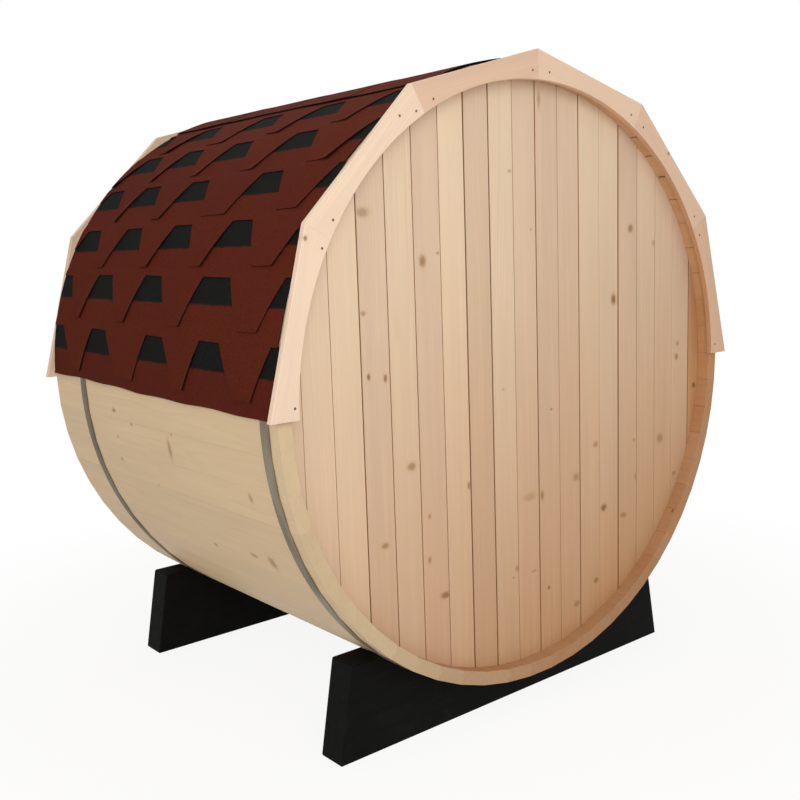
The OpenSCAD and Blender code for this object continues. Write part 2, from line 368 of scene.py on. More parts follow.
def some_knots(near, far, width, chance):
    """Knots scattered by chance along a stick."""
    found, at = [], near + draw.uniform(0.03, 0.6) / chance
    while at < far - 0.04:
        size = draw.choice(knot_sizes)
        found.append((at, draw.uniform(-0.42, 0.42) * width, size * draw.uniform(0.9, 1.7), size,
                      draw.uniform(0.35, 0.9)))
        at += draw.uniform(0.12, 0.95) / chance
    return found


def knot_gap(knot, corners):
    """How far a face lies from a knot, counted in the knot's own half length and half width."""
    gaps = []
    for axis in (0, 1):
        spread = [corner[axis] for corner in corners]
        gaps.append(max(min(spread) - knot[axis], knot[axis] - max(spread), 0.0) / knot[axis + 2])
    return math.hypot(*gaps)


def parted(loops, cut):
    """The loops of a stick with one more at the cut, if there is room for it."""
    for spot, (near, far) in enumerate(zip(loops, loops[1:])):
        start = max(corner[0] for corner in near) + cut_room
        stop = min(corner[0] for corner in far) - cut_room
        if start < cut < stop:
            fresh = []
            for a, b in zip(near, far):
                share = (cut - a[0]) / (b[0] - a[0])
                fresh.append((cut, a[1] + (b[1] - a[1]) * share, a[2] + (b[2] - a[2]) * share))
            return loops[:spot + 1] + [fresh] + loops[spot + 1:]
    return loops


def stave_section(floor_r, low_ease, high_ease):
    """Outline of a stave seen on its end, as (across, radius).

    Its inner face lies at the floor radius, and that face's two edges are eased as given.
    """
    def half(radius):
        return radius * math.tan(stave_half_turn) - stave_gap / 2

    def rounded(joint_turn, radius, gap):
        start = math.asin((bead_r - bead_out + gap / 2) / radius)
        arc = []
        for step in range(bead_steps + 1):
            angle = math.pi - start - (math.pi - 2 * start) * step / bead_steps
            up = middle_r + radius * math.cos(angle)
            off = bead_out - bead_r + radius * math.sin(angle)
            arc.append((up * math.sin(joint_turn) + off * math.cos(joint_turn),
                        up * math.cos(joint_turn) - off * math.sin(joint_turn)))
        return arc
    bead = rounded(stave_half_turn, bead_r, -stave_gap)
    cove = rounded(-stave_half_turn, cove_r, stave_gap)
    low_r, high_r = [floor_r + min(open_slant * drawn, open_most) * (floor_r < groove_r)
                     for drawn in (low_ease, high_ease)]
    edge_r = outer_r - stave_ease
    floor_w = half(floor_r)
    inside = [(low_ease - floor_w, floor_r), (floor_w - high_ease, floor_r), (half(high_r), high_r)]
    outside = [(half(edge_r), edge_r), (half(outer_r) - stave_ease, outer_r),
               (stave_ease - half(outer_r), outer_r), (-half(edge_r), edge_r)]
    return inside + bead + outside + cove[::-1] + [(-half(low_r), low_r)]


def straight(section, near, far, ease):
    """Loops of a stick of one section from end to end, with its ends eased."""
    middle = [sum(part) / len(section) for part in zip(*section)]
    drawn = [tuple(m + (p - m) * (1 - ease / max(abs(p - m), 3 * ease)) for p, m in zip(corner, middle))
             for corner in section]
    return [[(near, *corner) for corner in drawn], [(near + ease, *corner) for corner in section],
            [(far - ease, *corner) for corner in section], [(far, *corner) for corner in drawn]]


def stave_loops(number):
    """Loops of one stave from end to end, with the grooves that the end walls sit in."""
    eases = [open_joints.get(joint % stave_count, stave_inner_ease) for joint in (number, number + 1)]
    full, grooved = stave_section(inner_r, *eases), stave_section(groove_r, *eases)
    loops = straight(full, -stave_end, stave_end, stave_end_ease)
    inside = []
    for edge, section in ((-groove_near, full), (-groove_near + groove_slant, grooved),
                          (-groove_far - groove_slant, grooved), (-groove_far, full)):
        inside.append([(edge, *corner) for corner in section])
    inside += [[(-corner[0], *corner[1:]) for corner in loop] for loop in reversed(inside)]
    return loops[:2] + inside + loops[2:]


def stave_tint(along, across, deep):
    """Tint of the stave at hand: pale outside, brown inside, partly painted light and shade; joints in
    painted shade.
    """
    if deep > joint_r:
        return warm, light, 0.0
    if deep < inner_r + face_skin:
        return warm, inner_light, inner_tan
    opened = (number + (across > 0)) % stave_count in open_joints
    return warm, open_joint_light if opened else shut_joint_light, tan


stave_pine = pine("stave_pine", rgb(226, 203, 166), rgb(221, 194, 159), rgb(190, 134, 88), rgb(196, 160, 120))
sector_names = ("bottom", "lower_right", "right", "upper_right", "top", "upper_left", "left", "lower_left")
per_sector = stave_count / len(sector_names)
bottom_start = 40
for sector, sector_name in enumerate(sector_names):
    staves = Lumber()
    first, after = [bottom_start + int(part * per_sector) for part in (sector, sector + 1)]
    for number in range(first, after):
        turn = (number % stave_count + 0.5) * stave_turn
        knots = []
        for angle, at, half_long, half_wide, dark in shell_knots:
            off = math.radians(angle) - turn
            if abs(off) < stave_half_turn:
                knots.append((at, off * outer_r, half_long / 1000, half_wide / 1000, dark))
        if not seen_from < math.degrees(turn) < seen_to:
            knots += some_knots(-0.6, stave_end, stave_w, 0.8)
        warm, light, tan = draw.uniform(0.2, 0.8), draw.uniform(0.35, 0.65), draw.uniform(0.7, 1.0)
        low, high = max(0.0, -math.sin(turn)), max(0.0, math.sin(turn))
        # Inside, the staves are painted lighter and less brown the higher they lie and darker the lower:
        # painted light and shade over the wood's own brown.
        inner_light = light - 0.9 * low + 0.9 * high ** 0.5
        inner_tan = (0.51 + 0.4 * tan) * (1 - 0.2 * high)
        # The ends are darker than the faces, as end grain is, and darker still the lower they lie, which is
        # painted shade.
        end_light = light - 0.3 - 0.8 * low ** 0.5
        end_tan = end_tan_most * within((math.degrees(turn) - end_tan_from) / (end_tan_to - end_tan_from))
        staves.stick(stave_loops(number), lambda along, across, deep: round_barrel(turn, deep, across, along),
                     stave_tint, knots, (warm, end_light, end_tan))
    staves.piece("staves_" + sector_name + "_pine", stave_pine, ["staves_" + sector_name], "stave_pine")


# Rear wall: nineteen upright pine boards, tongued and grooved, with a small bevel along each joint.
# The outermost two are ripped narrower, and all are sawn to the round and sit in the groove of the staves.
wall_r = 0.8696
wall_face = 0.6455
wall_t = 0.04
board_count = 19
edge_share = 0.73
board_w = 2 * wall_r / (board_count - 2 + 2 * edge_share)
board_gap = 0.0004
bevel_least, bevel_most, bevel_back = 0.0004, 0.0015, 0.0015
tongue_out, tongue_low, tongue_high, tongue_play = 0.009, 0.015, 0.025, 0.0003
# How brown the lower boards are painted, as painted shade, and how dark the sides of the joints, also painted
# shade.
wall_low_shade, wall_joint_light = 0.85, -0.9
joint_from, joint_to = 0.0003, wall_t - 0.002
# Knots of the rear wall: across from the middle and height, half width and half height in millimetres,
# and darkness. The last one is a wide stain.
wall_knots = (
    (-0.59, 1.485, 22, 14, 0.5), (-0.395, 1.355, 13, 18, 0.75), (-0.34, 1.375, 6, 5, 0.6),
    (-0.06, 1.595, 9, 6, 0.4), (0.485, 1.425, 14, 15, 0.75), (0.4, 1.205, 13, 19, 0.95),
    (-0.6, 1.23, 10, 8, 0.5), (0.065, 1.8, 7, 30, 0.45), (0.605, 1.375, 10, 14, 0.4),
    (0.74, 1.035, 9, 10, 0.5), (0.025, 1.43, 5, 5, 0.35), (-0.59, 1.065, 6, 10, 1.0),
    (-0.535, 1.055, 7, 12, 0.85), (-0.455, 0.805, 17, 13, 0.65), (-0.555, 0.605, 15, 9, 0.65),
    (-0.395, 0.655, 6, 8, 0.6), (-0.245, 0.715, 6, 13, 0.75), (-0.345, 0.415, 19, 12, 0.85),
    (-0.4, 0.53, 7, 12, 0.6), (-0.1, 0.975, 6, 5, 0.35), (0.105, 0.89, 6, 4, 0.7),
    (0.06, 0.63, 8, 18, 0.75), (0.215, 0.66, 18, 16, 0.5), (0.31, 0.75, 13, 11, 0.55),
    (0.35, 0.535, 16, 14, 1.0), (0.45, 0.49, 19, 11, 0.6), (0.515, 0.61, 9, 16, 0.5),
    (0.645, 0.72, 20, 19, 0.6), (0.505, 0.735, 8, 7, 0.4), (0.085, 0.33, 7, 9, 0.95),
    (0.215, 0.245, 18, 12, 0.6), (0.31, 0.3, 15, 12, 0.75), (-0.055, 0.425, 8, 12, 0.55),
    (-0.07, 0.4, 4, 4, 0.7), (0.02, 0.4, 15, 5, 0.4), (0.735, 0.99, 11, 13, 0.7),
    (0.835, 0.88, 12, 12, 1.0), (0.725, 0.585, 12, 9, 0.6), (0.005, 0.635, 32, 14, 0.3))
# How rosy the boards are, from the left: pinkish and yellowish ones by turns. The last one is tan all over.
wall_rosy = (0.5, 0.3, 0.15, 0.85, 0.2, 0.95, 0.1, 0.65, 0.25, 0.8,
             0.95, 0.75, 0.2, 0.3, 0.85, 0.4, 0.7, 0.6, 0.5)
last_board_tan = 0.9
# How wide the joints between those boards have opened, in millimetres.
wall_seams = (0.7, 0.9, 2.5, 1.8, 1.8, 1.4, 3.7, 3.1, 1.1, 3.0, 1.0, 3.0, 0.5, 4.8, 1.5, 0.9, 0.4, 3.6)


def board_span(number):
    """Where a board of an end wall starts and ends, across from the middle."""
    left = (number - board_count / 2) * board_w
    return max(left, -wall_r), min(left + board_w, wall_r)


def board_section(width, thick, gaps, grooved, tongued, parts=12):
    """Outline of a board seen on its end, its face at 0, a groove on its left and a tongue on its right."""
    left, right = gaps[0] / 2, width - gaps[1] / 2
    left_bevel, right_bevel = [min(bevel_least + 0.4 * gap, bevel_most) for gap in gaps]
    low, high = tongue_low * thick / wall_t, tongue_high * thick / wall_t

    def spread(one, other, deep):
        return [(one + (other - one) * step / parts, deep) for step in range(parts + 1)]
    outline = spread(left + left_bevel, right - right_bevel, 0.0) + [(right, right_bevel)]
    if tongued:
        outline += [(right, low), (right + tongue_out, low), (right + tongue_out, high), (right, high)]
    outline += [(right, thick - bevel_back)] + spread(right - bevel_back, left + bevel_back, thick)
    outline += [(left, thick - bevel_back)]
    if grooved:
        sunk = left + tongue_out + board_gap
        low, high = low - tongue_play, high + tongue_play
        outline += [(left, high), (sunk, high), (sunk, low), (left, low)]
    return outline + [(left, left_bevel)]


def wall_board(wall, number, side, gaps, knots, from_z=None, to_z=None, warm=None):
    """Adds one board of an end wall, cut to the round, or square at a height where the doorway takes it."""
    left, right = board_span(number)
    section = board_section(right - left, wall_t, gaps, number > 0, number < board_count - 1)
    warm = draw.random() if warm is None else warm
    light = draw.uniform(0.35, 0.65)

    # Boards are painted browner lower down and towards the right, and darker and browner in their joints:
    # painted shade.
    def tint(along, across, deep):
        low = 1 - (along - axis_h + wall_r) / 2 / wall_r
        tan = wall_low_shade * max(low, 0.0) ** 1.5 * (1 + 0.35 * (left + across) / wall_r)
        tan = max(tan, last_board_tan * (number == board_count - 1))
        return (warm, wall_joint_light, 1.0) if joint_from < deep < joint_to else (warm, light, tan)

    def reach(across):
        x = min(abs(left + across), wall_r - 0.0001)
        return math.sqrt(wall_r ** 2 - x * x)
    foot, head = [], []
    for across, deep in section:
        foot.append((axis_h - reach(across) if from_z is None else from_z, across, deep))
        head.append((axis_h + reach(across) if to_z is None else to_z, across, deep))
    wall.stick([foot, head],
               lambda along, across, deep: (left + across, side * (wall_face - deep), along), tint, knots)


board_pine = pine("board_pine", rgb(240, 219, 192), rgb(223, 198, 175), rgb(190, 140, 92), rgb(210, 170, 132),
                  ring_show=0.12)
rear_wall = Lumber()
gap = board_gap
for number in range(board_count):
    left, right = board_span(number)
    knots = [(height, across - left, half_high / 1000, half_wide / 1000, dark)
             for across, height, half_wide, half_high, dark in wall_knots if left <= across < right]
    next_gap = wall_seams[number] / 1000 if number < board_count - 1 else board_gap
    wall_board(rear_wall, number, -1, (gap, next_gap), knots, warm=wall_rosy[number])
    gap = next_gap
rear_wall.piece("rear_wall_boards", board_pine, ["rear_wall"], "board_pine")


# Front wall: the same boards at the door end, sawn off square round the doorway.
# The boards beside it run full height, and short ones close the wall over and under the door.
door_first, door_last = 6, 12
door_low, door_high = axis_h - 0.7, axis_h + 0.7
front_gap = 0.0016
knot_margin = 0.1
front_parts = (("front_wall_left", range(door_first), None, None),
               ("front_wall_right", range(door_last + 1, board_count), None, None),
               ("front_wall_over_door", range(door_first, door_last + 1), door_high, None),
               ("front_wall_under_door", range(door_first, door_last + 1), None, door_low))


def board_knots(low, high, width):
    """Knots by chance on an upright board, clear of its ends, counted across from its left edge."""
    return [(at, across + width / 2, *rest)
            for at, across, *rest in some_knots(low + knot_margin, high - knot_margin, width, 1.0)]


for node, numbers, from_z, to_z in front_parts:
    wall = Lumber()
    low = axis_h - wall_r if from_z is None else from_z
    high = axis_h + wall_r if to_z is None else to_z
    for number in numbers:
        left, right = board_span(number)
        knots = board_knots(low, high, right - left)
        wall_board(wall, number, 1, (front_gap, front_gap), knots, from_z, to_z)
    wall.piece(node + "_boards", board_pine, [node], "board_pine")


# Door lining: two jambs, a head and a sill of planed pine, set in the thickness of the wall.
# Thin strips nailed round it make the stop that the leaf closes on.
trim_pine = pine("trim_pine", rgb(239, 215, 192), rgb(235, 206, 182), rgb(190, 134, 88), rgb(220, 183, 151))
trim_ease, stop_ease = 0.0018, 0.001
stop_w, stop_gap = 0.012, 0.0004
door_tan = 0.05


def door_tint():
    """Tint of one stick of the door, by chance."""
    return draw.random(), draw.uniform(0.35, 0.65), door_tan


def squared(lumber, low, high, axis, ease=trim_ease):
    """Adds a squared stick that fills a box and runs along one axis of it."""
    other = [number for number in range(3) if number != axis]
    section = eased(*[[corner[number] for number in other] for corner in (low, high)], ease)

    def place(along, across, deep):
        spot = [across, deep]
        spot.insert(axis, along)
        return tuple(spot)
    lumber.stick(straight(section, low[axis], high[axis], ease), place, door_tint())


for node, axis in (("door_jamb_left", 2), ("door_jamb_right", 2), ("door_head", 0), ("door_sill", 0)):
    lining = Lumber()
    squared(lining, *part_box(node), axis)
    lining.piece(node + "_pine", trim_pine, [node], "trim_pine")
stop_low, stop_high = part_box("door_stops")
stops = Lumber()
squared(stops, stop_low, (stop_low[0] + stop_w, *stop_high[1:]), 2, stop_ease)
squared(stops, (stop_high[0] - stop_w, *stop_low[1:]), stop_high, 2, stop_ease)
for bottom in (stop_low[2], stop_high[2] - stop_w):
    squared(stops, (stop_low[0] + stop_w + stop_gap, stop_low[1], bottom),
            (stop_high[0] - stop_w - stop_gap, stop_high[1], bottom + stop_w), 0, stop_ease)
stops.piece("door_stop_strips", trim_pine, ["door_stops"], "trim_pine")


# Door leaf: six tongued and grooved pine boards, flush with the wall.
# Two ledges are screwed across its back and hold the boards together.
leaf_low, leaf_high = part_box("door_leaf")
leaf_boards = 6
leaf_board_w = (leaf_high[0] - leaf_low[0] + board_gap) / leaf_boards
leaf_t = leaf_high[1] - leaf_low[1]
leaf = Lumber()
for number in range(leaf_boards):
    inner_left, inner_right = number > 0, number < leaf_boards - 1
    gaps = front_gap if inner_left else board_gap, front_gap if inner_right else board_gap
    section = board_section(leaf_board_w, leaf_t, gaps, inner_left, inner_right, 1)
    left = leaf_low[0] - board_gap / 2 + number * leaf_board_w
    knots = board_knots(leaf_low[2], leaf_high[2], leaf_board_w)
    leaf.stick([[(end, *corner) for corner in section] for end in (leaf_low[2], leaf_high[2])],
               lambda along, across, deep: (left + across, leaf_high[1] - deep, along), door_tint(), knots)
leaf.piece("door_leaf_boards", board_pine, ["door_leaf"], "board_pine")
ledge_low, ledge_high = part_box("door_ledges")
ledge_h = 0.09
ledges = Lumber()
for bottom in (ledge_low[2], ledge_high[2] - ledge_h):
    squared(ledges, (*ledge_low[:2], bottom), (*ledge_high[:2], bottom + ledge_h), 0)
ledges.piece("door_ledge_boards", trim_pine, ["door_ledges"], "trim_pine")


# Hinges: two tapered steel straps on the leaf, each with a rolled knuckle and a plate on the jamb.
# They are stamped from strip, painted black and held by round-headed screws.
hinge_low, hinge_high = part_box("door_hinges")
plate_w, strap_l, strap_h, strap_tip_h, strap_t = 0.024, 0.26, 0.036, 0.018, 0.003
tip_from, nose_from = strap_l - 0.01, strap_l - 0.003
knuckle_r, knuckle_ease = 0.007, 0.001
# Where the knuckle's three rolls meet: steps along it from the joint, and how deep the seam is there.
knuckle_seam = ((-0.0006, 0.0), (-0.0002, 0.0008), (0.0002, 0.0008), (0.0006, 0.0))
pivot_x = hinge_low[0] + plate_w
hinge_y = hinge_high[1] - 2 * knuckle_r
hinge_ease = 0.0006
hinge_screws = ((0.045, 0), (0.115, 0), (0.185, 0), (0.235, 0), (-0.015, 0.010), (-0.015, -0.010))
screw_head = ((-0.001, 0.0046), (0.0004, 0.0046), (0.0014, 0.0038), (0.0021, 0.0022), (0.0023, 0.0010))


class Metal(Solid):
    """Stamped and turned parts."""

    def turned(self, foot, direction, profile, sides=16):
        """Adds a round part from (height, radius) steps along a direction."""
        along = Vector(direction)
        across = along.orthogonal().normalized()
        up = along.cross(across)
        ring = [2 * math.pi * step / sides for step in range(sides)]
        self.loft([[Vector(foot) + along * height + radius * (across * math.cos(angle) + up * math.sin(angle))
                    for angle in ring] for height, radius in profile])


black_enamel, flow = new_finish("black_enamel")
place = flow.place()
orange_peel = place.mottle((700, 700, 700), 2)
rubbed = place.mottle((40, 40, 40), 4).rise(0.55, 0.8)
coat(flow, rubbed.blend(rgb(30, 30, 31), rgb(52, 50, 48)), 0.38 + 0.2 * orange_peel, orange_peel, 0.0002)
hinges = Metal()
lower_edge = [(-plate_w, -strap_h / 2), (0, -strap_h / 2),
              (tip_from, -strap_tip_h / 2), (nose_from, -strap_tip_h / 3)]
outline = lower_edge + [(strap_l, 0)] + [(x, -z) for x, z in reversed(lower_edge)]
centre = Vector((sum(x for x, z in outline) / len(outline), 0))
drawn = [Vector(part) + (centre - Vector(part)).normalized() * hinge_ease for part in outline]
strap = ((0, outline), (strap_t - hinge_ease, outline), (strap_t, drawn))
knuckle = [(-strap_h / 2, knuckle_r - knuckle_ease), (-strap_h / 2 + knuckle_ease, knuckle_r)]
for joint in (-strap_h / 6, strap_h / 6):
    knuckle += [(joint + step, knuckle_r - sunk) for step, sunk in knuckle_seam]
knuckle += [(strap_h / 2 - knuckle_ease, knuckle_r), (strap_h / 2, knuckle_r - knuckle_ease)]
for middle in (hinge_low[2] + strap_h / 2, hinge_high[2] - strap_h / 2):
    hinges.loft([[(pivot_x + x, hinge_y + out, middle + z) for x, z in loop] for out, loop in strap])
    hinges.turned((pivot_x, hinge_y + knuckle_r, middle), (0, 0, 1), knuckle, 24)
    for x, z in hinge_screws:
        hinges.turned((pivot_x + x, hinge_y + strap_t, middle + z), (0, 1, 0), screw_head)
hinges.piece("door_strap_hinges", black_enamel, ["door_hinges"], "hinge_steel", 35)


# Handle: one piece of darker softwood, band-sawn to a bow and rounded over by hand.
# Its two feet are screwed to the leaf from the back.
handle_wood = pine("handle_wood", rgb(176, 128, 84), rgb(168, 114, 76), rgb(150, 100, 64), rgb(128, 82, 50),
                   ring_gap=0.0034, ring_show=0.5, matt=0.48)
handle_low, handle_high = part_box("door_handle")
handle_bar, handle_foot, handle_sweep = 0.024, 0.042, 0.012
handle_end, handle_drop = 0.014, 0.010
handle_ease, foot_ease = 0.007, 0.001
handle_steps = 40
handle_l = handle_high[2] - handle_low[2]
handle_out = handle_high[1] - handle_low[1]
left, right, face = handle_low[0], handle_high[0], handle_low[1]
handle_loops = []
for step in range(handle_steps + 1):
    share = step / handle_steps
    from_end = min(share, 1 - share) * handle_l
    rounded = max(0.0, 1 - from_end / handle_end)
    top = handle_out - handle_drop * (1 - math.sqrt(max(0.0, 1 - rounded ** 2)))
    swept = within((from_end - handle_foot + handle_sweep) / handle_sweep)
    under = (handle_out - handle_bar) * math.sin(swept * math.pi / 2)
    section = eased((left, face + under), (right, face + top), min(handle_ease, (top - under) / 3))
    if under == 0:
        section[:3] = [(left + foot_ease, face), (right - foot_ease, face), (right, face + foot_ease)]
        section[7] = (left, face + foot_ease)
    handle_loops.append([(handle_low[2] + share * handle_l, *corner) for corner in section])
handle = Lumber()
handle.stick(handle_loops, lambda along, across, deep: (across, deep, along), (0.5, 0.5, 0.2))
handle.piece("door_handle_wood", handle_wood, ["door_handle"], "handle_wood", 50)


# Bands: two hoops of dull rolled steel strip, drawn tight round the staves.
# They pass under the roof, their sheared edges are a little uneven, and the front one is browner with age.
band_steel, flow = new_finish("band_steel")
place = flow.place()
rolled = place.mottle((6, 420, 6), 3)
tarnish = place.mottle((7, 22, 7), 5)
spots = place.mottle((85, 85, 85), 4).rise(0.62, 0.78)
steel = tarnish.rise(0.35, 0.7).blend(rgb(138, 128, 108), rgb(112, 102, 84))
steel = (spots * 0.6).blend(steel, rgb(92, 74, 58))
steel = (0.6 * place.axes()[1].rise(-0.3, 0.3)).blend(steel, rgb(84, 68, 42))
coat(flow, steel, 0.46 + 0.24 * tarnish, rolled + spots, 0.0002, 0.35)
band_steps = 4 * stave_count
band_lift = 0.0001
# Corners of a band's section on either side: how far in from its edge and how high over the staves.
band_corners = ((0.0012, 0.0), (0.0009, 0.7 * band_t), (0.0014, band_t - 0.0001))
for node in ("rear_band", "front_band"):
    low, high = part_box(node)
    near, far = [[(edge + inward * inset, hoop_r + band_lift + up) for inset, up in band_corners]
                 for edge, inward in ((low[1], 1), (high[1], -1))]
    section = near[:1] + far + near[:0:-1]
    loops = []
    for step in range(band_steps):
        angle = 2 * math.pi * step / band_steps
        shift = 0.0008 * math.sin(5 * angle + 1) + 0.0005 * math.sin(13 * angle)
        loops.append([round_barrel(angle, radius, 0, y + shift) for y, radius in section])
    hoop = Metal()
    hoop.loft(loops, closed=True)
    hoop.piece(node + "_steel", band_steel, [node], "band_steel", 40)


# Roof: bitumen shingles nailed straight to the staves, six courses over a starter strip on each side.
# Each sheet has tabs between wedge-shaped cut-outs, red grit, and a black strip that shows in the cut-outs
# of the sheet above it.
roof_r = hoop_r + band_t + 0.0003
shingle_t = 0.0025
shingle_gap = 0.0001
sheet_end = stave_end - 0.0004
cut_half, cut_slope = 0.051, math.tan(math.radians(30))
patch_h = 0.077
tab_rows, tab_columns = 6, 8
tab_pitch = 0.333
least_tab, least_gap, least_tip = 0.03, 0.002, 0.006
# Girth of each course's lower edge and of the tops of its cut-outs, up from the eave, and on the left
# the middles of the cut-outs, along from the near face of the rear fascia.
courses = ((0.036, 0.176, (-0.005, 0.345, 0.66, 1.04, 1.37)),
           (0.206, 0.347, (-0.01, 0.37, 0.735, 1.065, 1.38)),
           (0.372, 0.507, (-0.01, 0.345, 0.67, 0.985, 1.29)),
           (0.536, 0.667, (-0.015, 0.335, 0.725, 1.035, 1.305)),
           (0.692, 0.827, (-0.02, 0.335, 0.665, 0.96, 1.24)),
           (0.854, 0.988, (0.07, 0.39, 0.71, 1.07, 1.39)))
# Where two strips meet, the cut-out between them is wider.
wide_cuts = {0.37: 0.072}
ridge_low, ridge_lap = 1.024, 0.11
rear_face = -0.7065
# A sheet lies on the one below, and comes down to the staves over this stretch above its cut-outs.
settle_from, settle_over = 0.008, 0.018
settle_rises = (0, 0.007, 0.012, 0.017, 0.022, 0.027)
head_lap, head_rows = 0.006, 5
starter_steps, starter_h = 60, 0.036
starter_rises = (0.0, 0.012, starter_h, 0.06, 0.09, 0.12, 0.15, courses[0][1] + 0.005)
full_turn = 6.3


class Roofing(Solid):
    """Shingle sheets, laid by girth up from the eave of one side."""

    def __init__(self, side):
        super().__init__()
        self.side = side
        self.marks, self.raw = [], []

    def lay(self, spots, faces, tone):
        """Adds a sheet from spots of its top face.

        A spot is (place along the barrel, girth, lift, girth past the red grit).
        """
        first, count = len(self.points), len(spots)
        for drop in (0.0, shingle_t):
            for y, girth, lift, above in spots:
                angle, radius = girth / roof_r, roof_r + lift - drop
                x, z = self.side * radius * math.cos(angle), axis_h + radius * math.sin(angle)
                self.points.append((x, y, z))
                self.marks.append((above, tone, 0.0))
        edges = {}
        for face in faces:
            self.faces.append(tuple(first + spot for spot in face))
            self.faces.append(tuple(first + count + spot for spot in reversed(face)))
            self.raw += [False, True]
            edges.update(dict.fromkeys(zip(face, face[1:] + face[:1])))
        for one, two in edges:
            if (two, one) not in edges:
                self.faces.append((first + two, first + one, first + count + one, first + count + two))
                self.raw.append(True)

    def piece(self, name, nodes):
        mesh = super().piece(name, shingle, nodes, "shingle", 30)
        marks, raw = at_corners(mesh, self.marks, self.raw)
        marks[raw, 0] = 1.0
        mark(mesh, "sheet", marks)


shingle, flow = new_finish("shingle_grit")
place = flow.place()
above, tone = flow.marked("sheet").axes()[:2]
grit = flow.node("TexVoronoi", {"Vector": place, "Scale": 620.0})
grain_tone, grain_tone_g, grain_tone_b = grit.out("Color").axes()
weather = place.mottle((5, 5, 5), 4)
smudge = place.mottle((34, 34, 34), 3)
red = (0.25 + 0.5 * tone + 0.5 * (weather - 0.5)).blend(rgb(84, 32, 23), rgb(95, 38, 21))
red = (grain_tone * 0.55).blend(red, rgb(66, 23, 15))
red = (grain_tone_g.rise(0.86, 0.95) * 0.4).blend(red, rgb(122, 58, 38))
dark = (grain_tone * 0.6).blend(rgb(22, 24, 22), rgb(15, 16, 15))
dark = (grain_tone_g.rise(0.9, 0.97) * 0.4).blend(dark, rgb(50, 53, 50))
in_black = (above + (smudge - 0.5) * 0.008).rise(-0.003, 0.004)
coat(flow, in_black.blend(red, dark), 0.84 + 0.14 * (grain_tone_b - 0.5), 1 - grit + 0.6 * smudge, 0.0008,
     gloss=0.04)


def rows_of_faces(rows, steps):
    """Faces of a plain grid of spots, row by row."""
    return [(base, base + 1, base + steps + 2, base + steps + 1)
            for row in range(rows) for base in range(row * (steps + 1), row * (steps + 1) + steps)]


def lay_course(roof, low, top, next_top, cuts):
    """Lays one course: girths of its lower edge, of its cut-outs' tops and of those of the course over it."""
    tone = draw.random()
    spots = []
    depth = top - low
    cuts = [(cut, wide_cuts.get(round(cut - rear_face, 3), cut_half)) for cut in cuts]
    cuts = [(cuts[0][0] - tab_pitch, cut_half)] + cuts + [(cuts[-1][0] + tab_pitch, cut_half)]
    waves = [draw.uniform(0, full_turn) for number in range(2)]

    def spot(y, above, curl=0.0):
        lift = shingle_gap + shingle_t * (2 - within((above - depth - settle_from) / settle_over))
        ripple = 0.0005 * math.sin(9 * y + waves[0]) * max(0.0, 1 - above / 0.16)
        sway = 0.0018 * math.sin(4.3 * y + waves[1]) + 0.0009 * math.sin(17 * y + waves[0])
        girth = low + above + sway
        spots.append((y, girth, lift + ripple + curl, girth + patch_h - next_top))
        return len(spots) - 1
    tabs, columns = [], []
    at = -sheet_end
    for (one_cut, one_half), (two_cut, two_half) in zip(cuts, cuts[1:]):
        one, two = one_cut + one_half, two_cut - two_half
        near, far = max(one, -sheet_end), min(two, sheet_end)
        if far - near > least_tab:
            if near - at > least_gap:
                columns += [at, (at + near) / 2]
            tabs.append((one, two, len(columns)))
            columns += [near + (far - near) * step / tab_columns for step in range(tab_columns + 1)]
            at = far
    if sheet_end - at > least_gap:
        columns += [(at + sheet_end) / 2, sheet_end]
    head = next_top + head_lap - low
    rises = [depth + rise for rise in settle_rises]
    rises += [rises[-1] + (head - rises[-1]) * step / head_rows for step in range(1, head_rows + 1)]
    for above in rises:
        for y in columns:
            spot(y, above)
    faces = rows_of_faces(len(rises) - 1, len(columns) - 1)
    for one, two, home in tabs:
        trim = draw.uniform(-0.003, 0.003)
        curl_near = draw.uniform(0.0015, 0.006)
        last = range(home, home + tab_columns + 1)
        for row in range(tab_rows - 1, -1, -1):
            above = depth * row / tab_rows + (trim if row == 0 else 0)
            narrow = (depth - above) * cut_slope
            left, right = max(one + narrow, -sheet_end), min(two - narrow, sheet_end)
            if right - left < least_tip:
                break
            drop = 1 - above / depth
            fresh = []
            for step in range(tab_columns + 1):
                share = step / tab_columns
                curl = curl_near * (1 - share) ** 4 * (0.4 * min(1, 3 * drop) + 0.6 * drop ** 2)
                fresh.append(spot(left + (right - left) * share, above, curl))
            for step in range(tab_columns):
                faces.append((fresh[step], fresh[step + 1], last[step + 1], last[step]))
            last = fresh
    roof.lay(spots, faces, tone)


def lay_starter(roof, near_drop, far_drop):
    """Lays the starter strip: its lower edge hangs a little unevenly along the eave."""
    spots = []
    phase = draw.uniform(0, full_turn)
    for row, above in enumerate(starter_rises):
        for step in range(starter_steps + 1):
            share = step / starter_steps
            y = -sheet_end + 2 * sheet_end * share
            wave = (near_drop + (far_drop - near_drop) * share + 0.0022 * math.sin(9 * share + phase)
                    + 0.0016 * math.sin(31 * share + 2 * phase))
            flare = 0.0015 * (1 + math.sin(7 * share + phase)) * (row == 0)
            girth = above + wave * max(0.0, 1 - above / starter_h)
            spots.append((y, girth, shingle_t + flare, above + patch_h - courses[0][1]))
    roof.lay(spots, rows_of_faces(len(starter_rises) - 1, starter_steps), draw.random())


for side, node, drops in ((-1, "roof_left", (-0.005, 0.014)), (1, "roof_right", (0.002, -0.003))):
    roof = Roofing(side)
    lay_starter(roof, *drops)
    for number, (low, top, seen_cuts) in enumerate(courses):
        if side < 0:
            cuts = [rear_face + cut for cut in seen_cuts]
        else:
            start = rear_face + (number % 2) * 0.06 + draw.uniform(-0.02, 0.02)
            cuts = [start + tab_pitch * tab + draw.uniform(-0.012, 0.012) for tab in range(5)]
        next_top = courses[number + 1][1] if number < len(courses) - 1 else ridge_low + ridge_lap
        lay_course(roof, low, top, next_top, cuts)
    roof.piece(node + "_shingles", [node])


